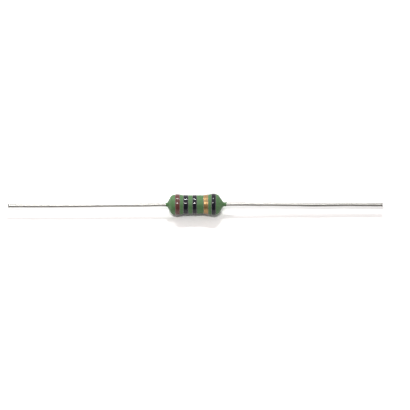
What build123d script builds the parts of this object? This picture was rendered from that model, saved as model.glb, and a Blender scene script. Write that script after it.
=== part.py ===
from build123d import *
import os
from math import acos, cos, degrees, pi, radians, sin

# Noninductive wirewound resistor, 10 ohm, 1 watt, with axial leads.
# Lengths are in millimetres and angles in degrees. The body is turned about the X axis,
# with its first colour band at the -X end, and the origin is at the middle of the part.

# Leads
lead_d = 0.60
overall_length = 64.0
burr_height = 0.05  # the cutter spreads the wire this far at its free end
burr_length = 0.16
weld_bead_d = 0.86  # where the lead is butt-welded to the cap
weld_bead_length = 0.18
left_kink_start = 7.5  # distance from the middle up to which the left lead runs true
left_kink_end = 16.0  # and from which it runs true again to its end
left_kink_offset = 0.04  # set over this far in Y between the two
right_kink_start = 10.5
right_kink_end = 20.0
right_kink_offset = -0.22

# Ceramic rod and the cups pressed over its ends
rod_d = 2.40
rod_length = 7.10
cap_wall = 0.20
cap_depth = 1.35  # from the cap's face to its rim
cap_corner = 0.18

# Resistance ribbon, wound twice in opposite directions
ribbon_width = 0.08
ribbon_thickness = 0.018
ribbon_gap = 0.006  # between a ribbon and what it lies on
crossings = 7  # times that the two windings pass over each other
end_spread = 30.0  # angle between the two ribbons where they are welded to a cap
weld_wrap = 80.0  # each ribbon's last stretch, laid on the cap
rise_wrap = 60.0  # the stretch before it, climbing from the rod to the cap
point_spacing = 30.0  # angle between the points of a ribbon's path

# Coating, by its thickness over what it covers and by the places of its two crests
left_crest_coat = 0.36  # over the left cap
waist_coat = 0.327  # over the windings, at the waist between the crests
right_crest_coat = 0.41  # over the right cap
left_crest_inset = 0.66  # from the left cap's face in to the crest
right_crest_inset = 0.73
left_inner_round = 2.70  # radius of the bend from a crest down towards the waist
left_waist_round = 2.70  # and of the bend back to the waist's level
right_inner_round = 2.70
right_waist_round = 3.20
coat_gap = 0.01  # left round the windings

# Ends of the coating, from the crest out along the lead
left_crest_round = 2.70
left_crest_turn = 15.5
left_shoulder_round = 0.74
left_flank_slope = 62.0
left_neck_round = 0.30
left_tail_slope = 17.5
left_tail_length = 0.17
right_crest_round = 2.70
right_crest_turn = 10.5
right_shoulder_round = 0.94
right_flank_slope = 56.0
right_neck_round = 0.25
right_tail_slope = 8.0
right_tail_length = 0.52

# Colour bands from the left: name, width, and share of the bare coating that follows
bands = [
    ("colour_band_1_brown", 0.82, 0.191),
    ("colour_band_2_black", 0.84, 0.245),
    ("colour_band_3_black", 0.74, 0.383),
    ("colour_band_4_gold", 0.82, 0.181),
    ("colour_band_5_black", 0.75, 0.0),
]
first_band_reach = 0.36  # the first band starts this far outside the left crest
last_band_reach = 0.48  # and the last one ends this far outside the right crest
band_height = 0.036  # paint's thickness

# Sizes that follow from those above
lead_r = lead_d / 2
rod_r = rod_d / 2
cap_r = rod_r + cap_wall
cap_face_x = rod_length / 2 + cap_wall
rim_x = cap_face_x - cap_depth
lead_end_x = overall_length / 2
cut_start_x = lead_end_x - burr_length
half_thickness = ribbon_thickness / 2
inner_ribbon_r = rod_r + ribbon_gap + half_thickness
outer_ribbon_r = inner_ribbon_r + ribbon_thickness + ribbon_gap
welded_ribbon_r = cap_r + ribbon_gap + half_thickness
turns = crossings / 2 + 0.5 - end_spread / 360
free_turns = turns - 2 * weld_wrap / 360
ribbon_stop_x = rim_x - ribbon_width / 2 - ribbon_gap
pitch = 2 * ribbon_stop_x / free_turns
winding_end_x = pitch * turns / 2
over_winding_r = outer_ribbon_r + half_thickness + coat_gap
over_weld_r = welded_ribbon_r + half_thickness + coat_gap
rise_foot_x = ribbon_stop_x - pitch * rise_wrap / 360
room_end_x = winding_end_x + ribbon_width / 2 + coat_gap
left_crest_r = cap_r + left_crest_coat
right_crest_r = cap_r + right_crest_coat
waist_r = over_winding_r + waist_coat
left_crest_x = left_crest_inset - cap_face_x
right_crest_x = cap_face_x - right_crest_inset
first_band_x = left_crest_x - first_band_reach
last_band_x = right_crest_x + last_band_reach
bare_coating = last_band_x - first_band_x - sum(width for name, width, share in bands)


def closed_to_axis(top):
    """Face between an outline and the X axis."""
    start, end = sorted((top @ 0, top @ 1), key=lambda point: point.X)
    sides = Polyline((end.X, end.Y), (end.X, 0), (start.X, 0), (start.X, start.Y))
    return make_face(Curve() + [top, sides])


def coating_end(side, crest, crest_round, crest_turn, shoulder_round, flank_slope,
                neck_round, tail_slope, tail_length):
    """One end of the coating's outline, from its crest down to the lead."""
    crest_arc = JernArc(crest, (side, 0), crest_round, -side * crest_turn)
    shoulder = JernArc(
        crest_arc @ 1, crest_arc % 1, shoulder_round, -side * (flank_slope - crest_turn)
    )
    flank_angle = radians(flank_slope)
    tail_angle = radians(tail_slope)
    neck_drop = neck_round * (cos(tail_angle) - cos(flank_angle))
    tail_drop = tail_length * sin(tail_angle)
    flank_drop = (shoulder @ 1).Y - lead_r - neck_drop - tail_drop
    flank = PolarLine(shoulder @ 1, flank_drop / sin(flank_angle), direction=shoulder % 1)
    neck = JernArc(flank @ 1, flank % 1, neck_round, side * (flank_slope - tail_slope))
    tail = PolarLine(neck @ 1, tail_length, direction=neck % 1)
    return [crest_arc, shoulder, flank, neck, tail]


def waist_bend(side, crest, inner_round, waist_round):
    """Outline from a crest in to the waist: one arc down and one back to level."""
    drop = crest[1] - waist_r
    turn = degrees(acos(1 - drop / (inner_round + waist_round)))
    down = JernArc(crest, (-side, 0), inner_round, side * turn)
    level = JernArc(down @ 1, down % 1, waist_round, -side * turn)
    return [down, level]


def coating_top():
    """Outer outline of the coating above the X axis, from the left tip to the right."""
    left_crest = (left_crest_x, left_crest_r)
    right_crest = (right_crest_x, right_crest_r)
    left_end = coating_end(
        -1, left_crest, left_crest_round, left_crest_turn, left_shoulder_round,
        left_flank_slope, left_neck_round, left_tail_slope, left_tail_length,
    )
    right_end = coating_end(
        1, right_crest, right_crest_round, right_crest_turn, right_shoulder_round,
        right_flank_slope, right_neck_round, right_tail_slope, right_tail_length,
    )
    left_bend = waist_bend(-1, left_crest, left_inner_round, left_waist_round)
    right_bend = waist_bend(1, right_crest, right_inner_round, right_waist_round)
    waist = Line(left_bend[-1] @ 1, right_bend[-1] @ 1)
    return Wire([*reversed(left_end), *left_bend, waist, *reversed(right_bend), *right_end])


def coating_section():
    return closed_to_axis(coating_top())


def cap_block(side):
    """Half section of a cap taken as solid and square, from its face to its rim."""
    inward = Align.MAX if side > 0 else Align.MIN
    return Pos(side * cap_face_x, 0) * Rectangle(cap_depth, cap_r, align=(inward, Align.MIN))


def lead_room_section(side):
    """Half section of the lead and its weld bead, from the cap's face outwards."""
    face = side * cap_face_x
    end = side * lead_end_x
    outline = Polyline(
        (face, 0),
        (face, weld_bead_d / 2),
        (face + side * weld_bead_length, lead_r),
        (end, lead_r),
        (end, 0),
        close=True,
    )
    return make_face(outline)


def winding_room_section():
    """Half section of the space that the two windings take inside the coating."""
    step = over_weld_r - over_winding_r
    left = [
        (-room_end_x, 0),
        (-room_end_x, over_weld_r),
        (-rise_foot_x, over_weld_r),
        (-rise_foot_x + step, over_winding_r),
    ]
    right = [(-x, r) for x, r in reversed(left)]
    return make_face(Polyline(*left, *right, close=True))


def ceramic_core():
    half = Rectangle(rod_length, rod_r, align=(Align.CENTER, Align.MIN))
    return revolve(half, Axis.X)


def end_cap(side):
    """Drawn cup, pressed over the rod up to its end face."""
    block = cap_block(side)
    outer = block.vertices().group_by(Axis.Y)[-1].sort_by(Axis.X)
    section = chamfer(outer[-1 if side > 0 else 0], cap_corner)
    return revolve(section, Axis.X) - ceramic_core()


def weld_bead(side):
    """Metal squeezed out round the lead where it is welded to the cap."""
    face = side * cap_face_x
    bead_end = face + side * weld_bead_length
    outline = Polyline(
        (face, 0),
        (face, weld_bead_d / 2),
        (bead_end, lead_r),
        (bead_end, 0),
        close=True,
    )
    return revolve(make_face(outline), Axis.X)


def cut_end(side, offset):
    """Flare that the cutter leaves on the last of the wire."""
    start = side * cut_start_x
    tip = side * lead_end_x
    outline = Polyline(
        (start, 0),
        (start, lead_r),
        (tip, lead_r + burr_height),
        (tip, 0),
        close=True,
    )
    return Pos(0, offset, 0) * revolve(make_face(outline), Axis.X)


def lead(side, kink_start, kink_end, kink_offset):
    """Lead with its weld bead and its cut end. It steps over a little where it was nudged."""
    slant = kink_end - kink_start
    half_turn = abs(kink_offset) / slant / 2
    first_run = min(kink_start - cap_face_x, slant)
    last_run = min(slant, cut_start_x - kink_end)
    route = FilletPolyline(
        (side * cap_face_x, 0),
        (side * kink_start, 0),
        (side * kink_end, kink_offset),
        (side * cut_start_x, kink_offset),
        radius=[0.45 * first_run / half_turn, 0.45 * last_run / half_turn],
    )
    wire = sweep(Plane(route @ 0, z_dir=route % 0) * Circle(lead_r), route)
    return wire + weld_bead(side) + cut_end(side, kink_offset)


def winding(hand, start_angle, run_r):
    """Ribbon round the rod: hand is 1 or -1, run_r is its radius between the caps.

    It is wound at a steady pitch, climbs at both ends and is welded to the caps.
    """
    whole = turns * 360
    count = round(whole / point_spacing)
    points = []
    for i in range(count + 1):
        angle = whole * i / count
        from_end = min(angle, whole - angle)
        climb = min(max((from_end - weld_wrap) / rise_wrap, 0), 1)
        r = run_r + (welded_ribbon_r - run_r) * (1 + cos(pi * climb)) / 2
        around = radians(start_angle + hand * angle)
        x = pitch * (angle / 360 - turns / 2)
        points.append((x, r * cos(around), r * sin(around)))
    path = Spline(*points)
    start = path @ 0
    outward = Vector(0, start.Y, start.Z)
    across = Plane(start, x_dir=outward, z_dir=path % 0)
    return sweep(across * Rectangle(ribbon_thickness, ribbon_width), path, is_frenet=True)


def coating():
    section = coating_section() - winding_room_section()
    for side in (-1, 1):
        section -= cap_block(side)
        section -= lead_room_section(side)
    return revolve(section, Axis.X)


def colour_band(start_x, width):
    """Ring of paint of even thickness on the coating."""
    strip = Pos(start_x, 0) * Rectangle(width, 2 * right_crest_r, align=(Align.MIN, Align.MIN))
    painted = offset(coating_section(), amount=band_height)
    return revolve((strip & painted) - coating_section(), Axis.X)


os.makedirs("parts", exist_ok=True)
pieces = {
    "ceramic_core": ceramic_core(),
    "end_cap_left": end_cap(-1),
    "end_cap_right": end_cap(1),
    "lead_left": lead(-1, left_kink_start, left_kink_end, left_kink_offset),
    "lead_right": lead(1, right_kink_start, right_kink_end, right_kink_offset),
    "winding_right_hand": winding(1, 0, inner_ribbon_r),
    "winding_left_hand": winding(-1, -end_spread, outer_ribbon_r),
    "coating": coating(),
}
band_x = first_band_x
for name, width, share in bands:
    pieces[name] = colour_band(band_x, width)
    band_x += width + share * bare_coating
for name, piece in pieces.items():
    export_step(piece, f"parts/{name}.step")
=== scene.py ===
import bpy
import math
from mathutils import Matrix, Vector


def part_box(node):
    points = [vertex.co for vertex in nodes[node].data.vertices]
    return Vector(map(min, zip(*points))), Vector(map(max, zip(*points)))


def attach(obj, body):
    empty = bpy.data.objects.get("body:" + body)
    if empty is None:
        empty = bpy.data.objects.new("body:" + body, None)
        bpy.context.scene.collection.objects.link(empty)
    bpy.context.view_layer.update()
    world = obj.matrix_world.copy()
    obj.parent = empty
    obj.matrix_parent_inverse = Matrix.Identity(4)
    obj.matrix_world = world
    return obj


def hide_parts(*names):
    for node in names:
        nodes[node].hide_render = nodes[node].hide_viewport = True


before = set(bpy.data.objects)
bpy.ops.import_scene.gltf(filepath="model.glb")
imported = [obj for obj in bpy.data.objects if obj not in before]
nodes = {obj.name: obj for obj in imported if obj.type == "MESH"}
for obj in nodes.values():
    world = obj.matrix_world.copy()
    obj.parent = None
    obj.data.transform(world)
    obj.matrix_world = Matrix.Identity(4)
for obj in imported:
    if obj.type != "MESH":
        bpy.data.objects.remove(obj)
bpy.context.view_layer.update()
mm = 0.001
scene = bpy.context.scene
print("frame loaded:", len(nodes), "nodes")


# helpers that write node trees

class Signal:  # an output socket that takes part in sums
    def __init__(self, sheet, socket):
        self.sheet = sheet
        self.socket = socket

    def __add__(self, other):
        return self.sheet.math("ADD", self, other)

    def __radd__(self, other):
        return self.sheet.math("ADD", other, self)

    def __rsub__(self, other):
        return self.sheet.math("SUBTRACT", other, self)

    def __mul__(self, other):
        return self.sheet.math("MULTIPLY", self, other)

    def __rmul__(self, other):
        return self.sheet.math("MULTIPLY", other, self)

    def __truediv__(self, other):
        return self.sheet.math("DIVIDE", self, other)

    def __rtruediv__(self, other):
        return self.sheet.math("DIVIDE", other, self)

    def __abs__(self):
        return self.sheet.math("ABSOLUTE", self, 0.0)


class NodeSheet:  # writes nodes into the tree of a material, the world or a modifier
    def __init__(self, tree):
        self.tree = tree

    def plug(self, socket, value):
        if isinstance(value, Signal):
            self.tree.links.new(value.socket, socket)
        else:
            socket.default_value = value

    def node(self, kind, settings=None, inputs=None, out=0):
        made = self.tree.nodes.new(kind)
        for key, value in (settings or {}).items():
            setattr(made, key, value)
        for key, value in (inputs or {}).items():
            self.plug(made.inputs[key], value)
        return Signal(self, made.outputs[out]) if made.outputs else None

    def math(self, operation, left, right):
        return self.node("ShaderNodeMath", {"operation": operation}, {0: left, 1: right})

    def split(self, vector):  # its X, Y and Z
        parts = self.node("ShaderNodeSeparateXYZ", inputs={0: vector}).socket.node
        return [Signal(self, socket) for socket in parts.outputs]

    def mixColour(self, factor, first, second):
        inputs = {0: factor, 6: first, 7: second}
        return self.node("ShaderNodeMix", {"data_type": "RGBA"}, inputs, out=2)

    def smooth(self, value, low, high):  # 0 below low, 1 above high
        inputs = {"Value": value, "From Min": low, "From Max": high}
        return self.node("ShaderNodeMapRange", {"interpolation_type": "SMOOTHSTEP"}, inputs)

    def rays(self, *kinds):  # 1 on a ray of any of these kinds
        found = 0.0
        for kind in kinds:
            ray = self.node("ShaderNodeLightPath", out="Is " + kind + " Ray")
            found = self.math("MAXIMUM", found, ray)
        return found


class SurfaceSheet(NodeSheet):  # a material with one Principled shader
    def __init__(self, name, **constants):
        self.material = bpy.data.materials.new(name)
        self.material.use_nodes = True
        super().__init__(self.material.node_tree)
        self.tree.nodes.clear()
        self.surface = self.node("ShaderNodeBsdfPrincipled")
        self.output = self.tree.nodes.new("ShaderNodeOutputMaterial")
        self.plug(self.output.inputs["Surface"], self.surface)
        for key, value in constants.items():
            self.feed(key, value)
        self.place = self.node("ShaderNodeTexCoord", out="Object")

    def feed(self, name, value):
        self.plug(self.surface.socket.node.inputs[name], value)

    def noise(self, scale, detail=3.0, warp=0.0, along=None):
        where = self.place
        if along is not None:
            where = self.node("ShaderNodeMapping", inputs={"Vector": self.place, "Scale": along})
        return self.node("ShaderNodeTexNoise", inputs={
            "Vector": where, "Scale": scale, "Detail": detail, "Roughness": 0.55,
            "Distortion": warp})

    def bump(self, height, depth):
        inputs = {"Height": height, "Distance": depth * mm, "Strength": 1.0}
        self.feed("Normal", self.node("ShaderNodeBump", inputs=inputs))


# helpers that write geometry trees and turn their result into plain meshes

def openTree(name, inputs):
    tree = bpy.data.node_groups.new(name, "GeometryNodeTree")
    for key, kind in inputs.items():
        tree.interface.new_socket(name=key, in_out="INPUT", socket_type="NodeSocket" + kind)
    tree.interface.new_socket(name="Geometry", in_out="OUTPUT", socket_type="NodeSocketGeometry")
    entry = tree.nodes.new("NodeGroupInput")
    sheet = NodeSheet(tree)
    return sheet, {socket.name: Signal(sheet, socket) for socket in entry.outputs}


def closeTree(sheet, geometry, finish):
    smooth = sheet.node("GeometryNodeSetShadeSmooth", {"domain": "FACE"}, {"Geometry": geometry})
    solid = sheet.node("GeometryNodeRealizeInstances", inputs={"Geometry": smooth})
    dressed = sheet.node("GeometryNodeSetMaterial", inputs={"Geometry": solid, "Material": finish})
    sheet.node("NodeGroupOutput", inputs={0: dressed})
    return sheet.tree


def grow(name, data, tree, values):  # runs a tree on a mesh or curve, and keeps the result
    holder = bpy.data.objects.new(name + " start", data)
    scene.collection.objects.link(holder)
    modifier = holder.modifiers.new("grown", "NODES")
    modifier.node_group = tree
    for item in tree.interface.items_tree:
        if item.in_out == "INPUT" and item.name in values:
            modifier[item.identifier] = values[item.name]
    evaluated = holder.evaluated_get(bpy.context.evaluated_depsgraph_get())
    mesh = bpy.data.meshes.new_from_object(evaluated)
    mesh.name = name
    piece = bpy.data.objects.new(name, mesh)
    scene.collection.objects.link(piece)
    bpy.data.objects.remove(holder)
    if sum(face.center.dot(face.normal) * face.area for face in mesh.polygons) < 0:
        mesh.flip_normals()  # the sweep can come out facing inward
    return piece


# a closed section turned about the X axis, then made a little uneven

turning = {
    "pathRadius": 1.0,  # of the circle that a section is carried round, in mm
    "wanderAlong": 300.0,  # how fast a rim's wander changes along the axis, per metre
    "wanderSeed": 7.3,  # keeps the wander apart from the lumps
    "flickSide": (0.87, 0.5),  # Y and Z of the side that the flick is on
    "flickFrom": 0.2,
    "flickRise": 0.45,  # how far the flick stands out, as a share of how far it reaches
}


def turnedTree():
    sheet, given = openTree("turned section", {
        "Geometry": "Geometry", "Segments": "Int", "Path Radius": "Float", "Lump Height": "Float",
        "Lump Size": "Float", "Wander": "Float", "Wander Waves": "Float", "Flick": "Float",
        "Seed": "Float", "Material": "Material"})

    def mark(name):  # what a point of the section was marked with
        return sheet.node("GeometryNodeInputNamedAttribute", {"data_type": "FLOAT"}, {"Name": name})

    def drift(inputs):  # noise around zero
        settings = {"noise_dimensions": "4D", "normalize": False}
        return sheet.node("ShaderNodeTexNoise", settings, inputs)

    def vector(x, y, z):
        return sheet.node("ShaderNodeCombineXYZ", inputs={0: x, 1: y, 2: z})

    circle = sheet.node("GeometryNodeCurvePrimitiveCircle", {"mode": "RADIUS"},
                        {"Resolution": given["Segments"], "Radius": given["Path Radius"]})
    profile = sheet.node("GeometryNodeMeshToCurve", inputs={0: given["Geometry"]})
    swept = sheet.node("GeometryNodeCurveToMesh", inputs={
        "Curve": circle, "Profile Curve": profile})
    turned = sheet.node("GeometryNodeTransform", inputs={
        "Geometry": swept, "Rotation": (0.0, math.radians(90), 0.0)})

    place = sheet.node("GeometryNodeInputPosition")
    x, y, z = sheet.split(place)
    radius = sheet.math("SQRT", y * y + z * z, 0.0)
    outY, outZ = y / radius, z / radius

    lumps = drift({"Vector": place, "W": given["Seed"], "Scale": 1.0 / (given["Lump Size"] * mm),
                   "Detail": 2.0, "Roughness": 0.45})
    waves = given["Wander Waves"]
    wander = drift({"Vector": vector(outY * waves, outZ * waves, x * turning["wanderAlong"]),
                    "W": given["Seed"] + turning["wanderSeed"], "Scale": 1.0, "Detail": 3.0})
    sideY, sideZ = turning["flickSide"]
    upper = sheet.smooth(outY * sideY + outZ * sideZ, turning["flickFrom"], 1.0)
    flick = upper * mark("tongue") * given["Flick"] * mm

    slide = wander * given["Wander"] * mm * mark("edge") + flick
    push = lumps * given["Lump Height"] * mm * mark("skin") + flick * turning["flickRise"]
    moved = sheet.node("GeometryNodeSetPosition", inputs={
        "Geometry": turned, "Offset": vector(slide, outY * push, outZ * push)})
    return closeTree(sheet, moved, given["Material"])


turned = turnedTree()


def turnedPiece(name, section, marks, values):  # the section is a closed ring of (x, radius) in mm
    path = turning["pathRadius"] * mm
    points = [(r * mm - path, -x * mm, 0.0) for x, r in section]
    count = len(points)
    mesh = bpy.data.meshes.new(name + " section")
    mesh.from_pydata(points, [(i, (i + 1) % count) for i in range(count)], [])
    for key, levels in marks.items():
        mesh.attributes.new(key, "FLOAT", "POINT").data.foreach_set("value", levels)
    return grow(name, mesh, turned, {"Path Radius": path, **values})


# finishes; their noise scales are in waves per metre and their depths in mm

greenLook = {
    "dark": (0.067, 0.160, 0.058, 1), "light": (0.090, 0.190, 0.078, 1),
    "grain": (0.060, 0.126, 0.053, 1), "speck": (0.150, 0.240, 0.125, 1),
    "grainShare": 0.35, "speckShare": 0.35, "speckFrom": 0.64, "speckTo": 0.72,
    "rough": 0.40, "roughGrain": 0.22,
    "depth": 0.012, "relief": {"cloud": 0.5, "grain": 0.25, "ripple": 0.5},
    "scales": {"cloud": 700.0, "grain": 26000.0, "speck": 14000.0, "ripple": 5200.0},
}


def greenFinish():
    look = SurfaceSheet("green dipped coating", IOR=1.31)
    scales, relief = greenLook["scales"], greenLook["relief"]
    cloud = look.noise(scales["cloud"], detail=4.0)
    grain = look.noise(scales["grain"])
    ripple = look.noise(scales["ripple"])
    specks = look.noise(scales["speck"], detail=1.0)
    speck = look.smooth(specks, greenLook["speckFrom"], greenLook["speckTo"])
    tone = look.mixColour(cloud, greenLook["dark"], greenLook["light"])
    tone = look.mixColour(grain * greenLook["grainShare"], tone, greenLook["grain"])
    tone = look.mixColour(speck * greenLook["speckShare"], tone, greenLook["speck"])
    look.feed("Base Color", tone)
    look.feed("Roughness", greenLook["rough"] + grain * greenLook["roughGrain"])
    height = cloud * relief["cloud"] + grain * relief["grain"] + ripple * relief["ripple"]
    look.bump(height, greenLook["depth"])
    return look.material


paints = {
    "brown": {"deep": (0.075, 0.022, 0.020, 1), "thin": (0.150, 0.055, 0.047, 1),
              "rough": 0.20, "streak": 0.45, "flake": 0.01, "metal": 0.0, "bend": 1.40},
    "black": {"deep": (0.010, 0.010, 0.015, 1), "thin": (0.016, 0.016, 0.023, 1),
              "rough": 0.05, "streak": 0.06, "flake": 0.0, "metal": 0.0, "bend": 1.33},
    "gold": {"deep": (0.18, 0.088, 0.030, 1), "thin": (0.47, 0.300, 0.115, 1),
             "rough": 0.24, "streak": 0.5, "flake": 0.16, "metal": 0.58, "bend": 1.6},
}
paintRim = {  # the dull rim where a band's paint runs out
    "tone": (0.260, 0.215, 0.250, 1), "share": 0.8, "rough": 0.25,
    "from": 0.90, "to": 1.04, "fray": 0.16,
}
paintGrain = {"cloud": 3200.0, "streak": 5200.0, "flake": 52000.0, "fray": 9000.0, "depth": 0.020}


def paintFinish(name, paint):
    look = SurfaceSheet(name, IOR=paint["bend"])
    across = look.node("ShaderNodeAttribute", {"attribute_name": "across"}, out="Fac")
    frayed = abs(across) + look.noise(paintGrain["fray"]) * paintRim["fray"]
    rim = look.smooth(frayed, paintRim["from"], paintRim["to"])
    cloud = look.noise(paintGrain["cloud"])
    streaks = look.noise(paintGrain["streak"], detail=2.0, warp=0.6, along=(1.0, 0.35, 0.8))
    flake = look.noise(paintGrain["flake"], detail=2.0)
    tone = look.mixColour(cloud, paint["deep"], paint["thin"])
    look.feed("Base Color", look.mixColour(rim * paintRim["share"], tone, paintRim["tone"]))
    look.feed("Roughness", paint["rough"] + rim * paintRim["rough"] + flake * paint["flake"])
    look.feed("Metallic", paint["metal"] * (1.0 - rim))
    look.bump(streaks * paint["streak"] + flake * paint["flake"], paintGrain["depth"])
    return look.material


tinLook = {
    "dark": (0.275, 0.27, 0.256, 1), "light": (0.40, 0.39, 0.37, 1),
    "pit": (0.20, 0.19, 0.17, 1), "pitShare": 0.6, "pitFrom": 0.66, "pitTo": 0.78,
    "rightDarken": (0.19, 0.186, 0.176, 1), "rightDarkenShare": 0.45,  # a darker tone towards the right lead's end
    "rightDarkenFrom": 12.0, "rightDarkenTo": 26.0, "rightDarkenFray": 4.0,
    "cut": (0.07, 0.06, 0.05, 1), "cutShare": 0.85, "cutFrom": 31.80, "cutTo": 31.92,
    "rough": 0.35, "roughCloud": 0.08, "roughPit": 0.15,
    "depth": 0.008, "relief": {"line": 0.6, "cloud": 0.5, "pit": -0.5},
    "scales": {"line": 9000.0, "cloud": 900.0, "pit": 9000.0},
}


def tinnedFinish():
    look = SurfaceSheet("tinned copper wire", Metallic=1.0)
    scales, relief = tinLook["scales"], tinLook["relief"]
    lines = look.noise(scales["line"], along=(0.02, 1.0, 1.0))
    cloud = look.noise(scales["cloud"], detail=4.0, along=(0.35, 1.0, 1.0))
    pits = look.smooth(look.noise(scales["pit"], detail=2.0), tinLook["pitFrom"], tinLook["pitTo"])
    x = look.split(look.place)[0]
    # darker towards the right lead's end, from 12 to 26 mm out
    rightDarken = look.smooth(x + cloud * tinLook["rightDarkenFray"] * mm,
                       tinLook["rightDarkenFrom"] * mm, tinLook["rightDarkenTo"] * mm)
    cut = look.smooth(abs(x), tinLook["cutFrom"] * mm, tinLook["cutTo"] * mm)
    tone = look.mixColour(cloud, tinLook["dark"], tinLook["light"])
    tone = look.mixColour(pits * tinLook["pitShare"], tone, tinLook["pit"])
    tone = look.mixColour(rightDarken * tinLook["rightDarkenShare"], tone, tinLook["rightDarken"])
    look.feed("Base Color", look.mixColour(cut * tinLook["cutShare"], tone, tinLook["cut"]))
    rough = tinLook["rough"] + cloud * tinLook["roughCloud"] + pits * tinLook["roughPit"]
    look.feed("Roughness", rough)
    height = lines * relief["line"] + cloud * relief["cloud"] + pits * relief["pit"]
    look.bump(height, tinLook["depth"])
    return look.material


ceramicLook = {"dark": (0.78, 0.76, 0.71, 1), "light": (0.88, 0.87, 0.84, 1),
               "rough": 0.5, "roughGrain": 0.2, "depth": 0.008, "scale": 18000.0}


def ceramicFinish():
    look = SurfaceSheet("white ceramic", IOR=1.55)
    grain = look.noise(ceramicLook["scale"], detail=4.0)
    look.feed("Base Color", look.mixColour(grain, ceramicLook["dark"], ceramicLook["light"]))
    look.feed("Roughness", ceramicLook["rough"] + grain * ceramicLook["roughGrain"])
    look.bump(grain, ceramicLook["depth"])
    return look.material


metals = {
    "plated steel cap": {"dark": (0.52, 0.51, 0.49, 1), "light": (0.68, 0.67, 0.64, 1),
                         "rough": 0.25},
    "resistance alloy": {"dark": (0.34, 0.33, 0.31, 1), "light": (0.50, 0.48, 0.45, 1),
                         "rough": 0.30},
}
drawnLines = {"line": 7000.0, "cloud": 1500.0, "rough": 0.15, "depth": 0.006}


def drawnMetalFinish(name):
    metal = metals[name]
    look = SurfaceSheet(name, Metallic=1.0)
    lines = look.noise(drawnLines["line"], along=(0.06, 1.0, 1.0))
    cloud = look.noise(drawnLines["cloud"])
    look.feed("Base Color", look.mixColour(cloud, metal["dark"], metal["light"]))
    look.feed("Roughness", metal["rough"] + lines * drawnLines["rough"])
    look.bump(lines, drawnLines["depth"])
    return look.material


greenCoat = greenFinish()
tinned = tinnedFinish()
platedSteel = drawnMetalFinish("plated steel cap")
alloy = drawnMetalFinish("resistance alloy")
bandFinish = {name: paintFinish(name + " band paint", paint) for name, paint in paints.items()}

innerFinish = {
    "ceramic_core": ceramicFinish(), "end_cap_left": platedSteel, "end_cap_right": platedSteel,
    "winding_right_hand": alloy, "winding_left_hand": alloy,
}
for name, finish in innerFinish.items():
    for slot in nodes[name].material_slots:
        slot.material = finish
print("finishes ready")


# the coating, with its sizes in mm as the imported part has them

coat = {
    "capRadius": 1.40, "capFace": 3.75, "leadRadius": 0.30, "weldRadius": 0.43, "weldLength": 0.18,
    "roomEnd": 2.705, "roomStep": 1.95,  # the hollow over the welds, and where it narrows
    "overWeld": 1.434, "overWinding": 1.258,
    "leftCrest": (-3.09, 1.76), "rightCrest": (3.02, 1.81), "waistRadius": 1.585, "waistRows": 60,
    "leftEnd": {"crestRound": 2.70, "crestTurn": 15.5, "shoulderRound": 0.74, "flankSlope": 62.0,
                "neckRound": 0.30, "tailSlope": 17.5, "tailLength": 0.17},
    "rightEnd": {"crestRound": 2.70, "crestTurn": 10.5, "shoulderRound": 0.94, "flankSlope": 56.0,
                 "neckRound": 0.25, "tailSlope": 8.0, "tailLength": 0.40},
    "leftBend": {"inner": 2.70, "outer": 2.70}, "rightBend": {"inner": 2.70, "outer": 3.20},
    "flankRows": 6, "tailRows": 5, "endStep": 1.6, "bendStep": 1.0,  # steps of an arc in degrees
    "lip": 0.045, "lipBack": 0.3, "lipTop": 0.75, "lipFoot": 0.3,  # the last three as shares of lip
    "skinReach": 0.5, "tipReach": 0.28,  # how far from a tip the lumps fade, and the rim wanders
    "surface": {"Segments": 160, "Lump Height": 0.016, "Lump Size": 1.3, "Wander": 0.035,
                "Wander Waves": 1.6, "Flick": 0.10, "Seed": 4.2},
}


class Pen:  # draws an outline of runs and tangent arcs, away from the crest
    def __init__(self, start, side, step):
        self.points = [start]
        self.side = side
        self.step = step
        self.slope = 0.0

    def run(self, length):
        x, r = self.points[-1]
        angle = math.radians(self.slope)
        self.points.append((x + self.side * length * math.cos(angle), r - length * math.sin(angle)))

    def arc(self, radius, slope):
        turn = slope - self.slope
        count = max(2, round(abs(turn) / self.step))
        x, r = self.points[-1]
        bend = radius if turn > 0 else -radius
        first = math.radians(self.slope)
        for i in range(1, count + 1):
            angle = math.radians(self.slope + turn * i / count)
            along = bend * (math.sin(angle) - math.sin(first))
            down = bend * (math.cos(first) - math.cos(angle))
            self.points.append((x + self.side * along, r - down))
        self.slope = slope


def endOutline(crest, side, end):  # from a crest to the tip on its lead
    pen = Pen(crest, side, coat["endStep"])
    pen.arc(end["crestRound"], end["crestTurn"])
    pen.arc(end["shoulderRound"], end["flankSlope"])
    flank, tail = math.radians(end["flankSlope"]), math.radians(end["tailSlope"])
    neckDrop = end["neckRound"] * (math.cos(tail) - math.cos(flank))
    tailDrop = end["tailLength"] * math.sin(tail)
    fall = pen.points[-1][1] - coat["leadRadius"] - neckDrop - tailDrop
    for i in range(coat["flankRows"]):
        pen.run(fall / math.sin(flank) / coat["flankRows"])
    pen.arc(end["neckRound"], end["tailSlope"])
    for i in range(coat["tailRows"]):
        pen.run(end["tailLength"] / coat["tailRows"])
    tipX = pen.points[-1][0]
    lip, foot = coat["lip"], coat["leadRadius"]
    points = [(x, max(r, foot + lip)) for x, r in pen.points]
    points[-1] = (tipX - side * lip * coat["lipBack"], foot + lip * coat["lipTop"])
    return points + [(tipX, foot + lip * coat["lipFoot"])]


def bendOutline(crest, side, bend):  # from a crest down to the waist
    pen = Pen(crest, -side, coat["bendStep"])
    drop = crest[1] - coat["waistRadius"]
    turn = math.degrees(math.acos(1 - drop / (bend["inner"] + bend["outer"])))
    pen.arc(bend["inner"], turn)
    pen.arc(bend["outer"], 0.0)
    return pen.points


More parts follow.
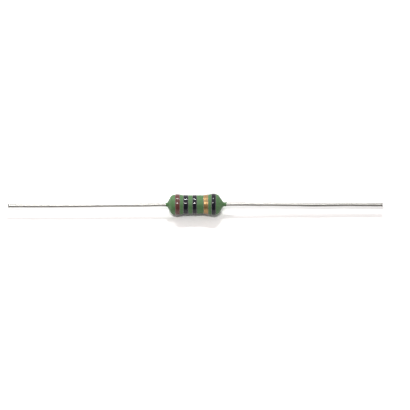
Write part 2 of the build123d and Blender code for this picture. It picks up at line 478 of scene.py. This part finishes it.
def coatingOutline():
    left = endOutline(coat["leftCrest"], -1, coat["leftEnd"])
    right = endOutline(coat["rightCrest"], 1, coat["rightEnd"])
    leftIn = bendOutline(coat["leftCrest"], -1, coat["leftBend"])
    rightIn = bendOutline(coat["rightCrest"], 1, coat["rightBend"])
    start, stop, rows = leftIn[-1][0], rightIn[-1][0], coat["waistRows"]
    waist = [(start + (stop - start) * i / rows, coat["waistRadius"]) for i in range(1, rows)]
    return left[::-1] + leftIn[1:] + waist + rightIn[::-1][:-1] + right


outline = coatingOutline()
tipLeft, tipRight = outline[0][0], outline[-1][0]


def outlineRadius(x):
    for (x0, r0), (x1, r1) in zip(outline, outline[1:]):
        if x0 <= x < x1:
            return r0 + (r1 - r0) * (x - x0) / (x1 - x0)
    return coat["leadRadius"]


def coatingInside():  # round the leads, their welds, the caps and the windings
    half = [
        (coat["capFace"] + coat["weldLength"], coat["leadRadius"]),
        (coat["capFace"], coat["weldRadius"]),
        (coat["capFace"], coat["capRadius"]),
        (coat["roomEnd"], coat["capRadius"]),
        (coat["roomEnd"], coat["overWeld"]),
        (coat["roomStep"] + coat["overWeld"] - coat["overWinding"], coat["overWeld"]),
        (coat["roomStep"], coat["overWinding"]),
    ]
    right = [(tipRight, coat["leadRadius"])] + half
    left = [(-x, r) for x, r in reversed(half)] + [(tipLeft, coat["leadRadius"])]
    return right + left


section = outline + coatingInside()
marks = {"skin": [], "edge": [], "tongue": []}
for i, (x, r) in enumerate(section):
    outer = i < len(outline)
    inset = min(x - tipLeft, tipRight - x)
    nearTip = max(0.0, 1.0 - inset / coat["tipReach"])
    marks["skin"].append(min(1.0, inset / coat["skinReach"]) if outer else 0.0)
    marks["edge"].append(nearTip if outer or inset == 0 else 0.0)
    marks["tongue"].append(nearTip ** 2 if outer and x > 0 else 0.0)
coating = turnedPiece("coating_skin", section, marks, {"Material": greenCoat, **coat["surface"]})
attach(coating, "root")
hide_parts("coating")
print("coating:", len(coating.data.polygons), "faces")


# the colour bands, each a rounded bead of paint on the coating

bands = {  # heights in mm
    "colour_band_1_brown": {"finish": "brown", "slot": "brown_paint", "seed": 1.0,
                            "height": 0.048, "lumps": 0.004},
    "colour_band_2_black": {"finish": "black", "slot": "black_paint", "seed": 2.0,
                            "height": 0.060, "lumps": 0.003},
    "colour_band_3_black": {"finish": "black", "slot": "black_paint", "seed": 3.6,
                            "height": 0.050, "lumps": 0.003},
    "colour_band_4_gold": {"finish": "gold", "slot": "gold_paint", "seed": 4.0,
                           "height": 0.055, "lumps": 0.004},
    "colour_band_5_black": {"finish": "black", "slot": "black_paint", "seed": 5.0,
                            "height": 0.070, "lumps": 0.003},
}
beadForm = {  # shared by all bands
    "rows": 40, "sunk": 0.012,  # how far the underside lies inside the coating, in mm
    "roundOff": 6, "lumpsFade": 6, "wanderIn": 2,  # powers of the place across the band
    "surface": {"Segments": 160, "Lump Size": 0.8, "Wander": 0.045, "Wander Waves": 2.2,
                "Flick": 0.0},
}

for name, band in bands.items():
    low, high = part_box(name)
    start, stop = low.x / mm, high.x / mm
    top, across = [], []
    for i in range(beadForm["rows"] + 1):
        t = math.sin((2 * i / beadForm["rows"] - 1) * math.pi / 2)  # from -1 to 1 across the band
        x = start + (stop - start) * (t + 1) / 2
        top.append((x, outlineRadius(x) + band["height"] * (1 - abs(t) ** beadForm["roundOff"])))
        across.append(t)
    under = [(x, outlineRadius(x) - beadForm["sunk"]) for x, r in top[::2]]
    marks = {
        "skin": [1.0 - abs(t) ** beadForm["lumpsFade"] for t in across] + [0.0] * len(under),
        "edge": [abs(t) ** beadForm["wanderIn"] for t in across] + [1.0] * len(under),
        "across": across + [1.0] * len(under),
    }
    bead = turnedPiece(name + "_bead", top + under[::-1], marks, {
        "Material": bandFinish[band["finish"]], "Lump Height": band["lumps"], "Seed": band["seed"],
        **beadForm["surface"]})
    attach(bead, "root")
    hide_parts(name)
print("bands ready:", len(bands))


# the leads

leads = {  # bends: distance from the middle, then how far off the axis in Y and in Z, in mm
    "lead_left": {"side": -1, "bends": [
        (6.0, 0.0, 0.0), (9.0, -0.004, -0.08), (15.0, 0.006, -0.08), (20.0, -0.034, -0.08),
        (26.0, -0.009, -0.08), (32.0, 0.036, -0.08)]},
    "lead_right": {"side": 1, "bends": [
        (7.0, 0.0, 0.0), (12.0, 0.01, -0.14), (16.5, -0.04, -0.19), (20.5, -0.12, -0.22),
        (26.0, -0.085, -0.22), (29.5, -0.145, -0.22), (32.0, -0.19, -0.22)]},
}
wireForm = {
    "segments": 48, "endX": 32.0, "rows": 110,
    "nearCap": (0.0, 0.09, 0.18, 0.30),  # the first rings, from the cap's face
    "nearCut": (0.46, 0.30, 0.16, 0.10, 0.05, 0.02, 0.0),  # the last, from the cut end
    "burr": 0.07, "burrLength": 0.16, "cutRound": 0.02,
}


def wireTree():
    sheet, given = openTree("drawn wire", {
        "Geometry": "Geometry", "Segments": "Int", "Material": "Material"})
    circle = sheet.node("GeometryNodeCurvePrimitiveCircle", {"mode": "RADIUS"},
                        {"Resolution": given["Segments"], "Radius": 1.0})
    thickness = sheet.node("GeometryNodeInputRadius")
    swept = sheet.node("GeometryNodeCurveToMesh", inputs={
        "Curve": given["Geometry"], "Profile Curve": circle, "Scale": thickness, "Fill Caps": True})
    return closeTree(sheet, swept, given["Material"])


wire = wireTree()


def easeAcross(t):  # 0 to 1 with level ends
    return t * t * (3 - 2 * t)


def bentAway(x, bends):  # how far the wire has left its axis here, in Y and Z
    for (x0, *before), (x1, *after) in zip(bends, bends[1:]):
        if x0 <= x <= x1:
            t = easeAcross((x - x0) / (x1 - x0))
            return [a + (b - a) * t for a, b in zip(before, after)]
    return [0.0, 0.0]


def wireRadius(fromCap, fromCut):  # thicker at the weld and at the burr
    radius = coat["leadRadius"]
    if fromCap < coat["weldLength"]:
        radius += (coat["weldRadius"] - coat["leadRadius"]) * (1 - fromCap / coat["weldLength"])
    if fromCut < wireForm["burrLength"]:
        radius += wireForm["burr"] * easeAcross(1 - fromCut / wireForm["burrLength"])
    if fromCut == 0:
        radius -= wireForm["cutRound"]
    return radius


def leadPiece(name, lead):
    span = wireForm["endX"] - coat["capFace"]
    first, rows = wireForm["nearCap"][-1], wireForm["rows"]
    plain = span - first - wireForm["nearCut"][0]
    rings = list(wireForm["nearCap"])
    rings += [first + plain * i / rows for i in range(1, rows)]
    rings += [span - inset for inset in wireForm["nearCut"]]
    curve = bpy.data.curves.new(name, "CURVE")
    curve.dimensions = "3D"
    spline = curve.splines.new("POLY")
    spline.points.add(len(rings) - 1)
    for point, fromCap in zip(spline.points, rings):
        x = coat["capFace"] + fromCap
        y, z = bentAway(x, lead["bends"])
        point.co = (lead["side"] * x * mm, y * mm, z * mm, 1.0)
        point.radius = wireRadius(fromCap, span - fromCap) * mm
    piece = grow(name + "_wire", curve, wire, {
        "Segments": wireForm["segments"], "Material": tinned})
    for face in piece.data.polygons:
        if len(face.vertices) > 4:
            face.use_smooth = False  # the flat cut ends
    return piece


for name, lead in leads.items():
    piece = leadPiece(name, lead)
    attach(piece, "root")
    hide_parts(name)
print("leads ready:", len(leads))


# a pale floor, with its level and size in mm

ground = {"level": -1.865, "halfSize": 2000.0, "tone": (0.93, 0.93, 0.93, 1), "rough": 0.9,
          "glow": 0.08}


def paleFloor():
    look = SurfaceSheet("pale floor", Roughness=ground["rough"])
    look.feed("Base Color", ground["tone"])
    strength = look.rays("Camera", "Glossy", "Transmission") * ground["glow"]
    glow = look.node("ShaderNodeEmission", inputs={"Color": (1, 1, 1, 1), "Strength": strength})
    both = look.node("ShaderNodeAddShader", inputs={0: look.surface, 1: glow})
    look.plug(look.output.inputs["Surface"], both)
    half, level = ground["halfSize"] * mm, ground["level"] * mm
    mesh = bpy.data.meshes.new("floor")
    mesh.from_pydata([(x * half, y * half, level) for x, y in ((-1, -1), (1, -1), (1, 1), (-1, 1))],
                     [], [(0, 1, 2, 3)])
    mesh.materials.append(look.material)
    floor = bpy.data.objects.new("floor", mesh)
    scene.collection.objects.link(floor)
    return floor


floor = paleFloor()


# the room: a soft ceiling, a dark side behind the camera, and white where it is looked at

room = {
    "wall": (0.20, 0.19, 0.185, 1), "ceiling": (0.78, 0.715, 0.70, 1),
    "ceilingFrom": 0.10, "ceilingTo": 0.70,
    "dark": (0.04, 0.037, 0.037, 1), "darkElevation": 28.0, "darkFrom": 0.35, "darkTo": 0.92,
    "white": (1, 1, 1, 1),
}


def softRoom():
    world = bpy.data.worlds.new("soft studio")
    world.use_nodes = True
    world.node_tree.nodes.clear()
    sky = NodeSheet(world.node_tree)
    direction = sky.node("ShaderNodeTexCoord", out="Generated")
    height = sky.split(direction)[2]
    tone = sky.mixColour(sky.smooth(height, room["ceilingFrom"], room["ceilingTo"]),
                         room["wall"], room["ceiling"])
    tone = sky.mixColour(sky.rays("Glossy", "Transmission"), tone, room["white"])
    rise = math.radians(room["darkElevation"])
    front = sky.node("ShaderNodeVectorMath", {"operation": "DOT_PRODUCT"},
                     {0: direction, 1: (0.0, -math.cos(rise), math.sin(rise))}, out="Value")
    tone = sky.mixColour(sky.smooth(front, room["darkFrom"], room["darkTo"]), tone, room["dark"])
    tone = sky.mixColour(sky.rays("Camera"), tone, room["white"])
    backdrop = sky.node("ShaderNodeBackground", inputs={"Color": tone, "Strength": 1.0})
    sky.node("ShaderNodeOutputWorld", inputs={"Surface": backdrop})
    return world


scene.world = softRoom()
print("floor and room ready")


# lamps, turned towards the middle of the part

lamps = {  # azimuth from the front, size and distance in metres
    "key behind": {"azimuth": 175, "elevation": 53.6, "size": (0.07, 0.022), "distance": 0.5,
                   "power": 0.90, "tone": (0.97, 1.0, 1.0)},
    "left behind": {"azimuth": 218, "elevation": 37.6, "size": (0.006, 0.003), "distance": 0.045,
                    "power": 0.0080, "tone": (0.97, 1.0, 1.0)},
    "overhead": {"azimuth": -15, "elevation": 76, "size": (0.08, 0.030), "distance": 0.5,
                 "power": 1.16, "tone": (1.0, 0.975, 0.965)},
}


def facing(place, goal):  # the turn that looks from a place to a goal
    return (goal - place).to_track_quat("-Z", "Y")


for name, lamp in lamps.items():
    data = bpy.data.lights.new(name, "AREA")
    data.shape = "RECTANGLE"
    data.size, data.size_y = lamp["size"]
    data.energy = lamp["power"]
    data.color = lamp["tone"]
    light = bpy.data.objects.new(name, data)
    side, rise = math.radians(lamp["azimuth"]), math.radians(lamp["elevation"])
    flat = math.cos(rise)
    away = Vector((math.sin(side) * flat, -math.cos(side) * flat, math.sin(rise)))
    light.location = away * lamp["distance"]
    light.rotation_euler = facing(light.location, Vector()).to_euler()
    scene.collection.objects.link(light)


# camera, at the photograph's angle

view = {"elevation": 60.0, "roll": 0.4, "frameWidth": 70.1, "distance": 0.9, "sensor": 36.0,
        "aim": (1.65, -0.091, -0.0525), "nearest": 0.01, "farthest": 20.0}  # aim, frameWidth in mm
camera = bpy.data.cameras.new("camera")
camera.sensor_width = view["sensor"]
camera.lens = view["sensor"] * view["distance"] / (view["frameWidth"] * mm)
camera.clip_start, camera.clip_end = view["nearest"], view["farthest"]
eye = bpy.data.objects.new("camera", camera)
tilt = math.radians(view["elevation"])
aim = Vector(view["aim"]) * mm
eye.location = aim + Vector((0, -math.cos(tilt), math.sin(tilt))) * view["distance"]
level = facing(eye.location, aim).to_matrix()
rolled = level @ Matrix.Rotation(math.radians(-view["roll"]), 3, "Z")
eye.matrix_world = Matrix.Translation(eye.location) @ rolled.to_4x4()
scene.collection.objects.link(eye)
bpy.context.scene.camera = eye
bpy.context.scene.view_settings.view_transform = "Standard"
print("lamps and camera ready")

bpy.context.view_layer.update()
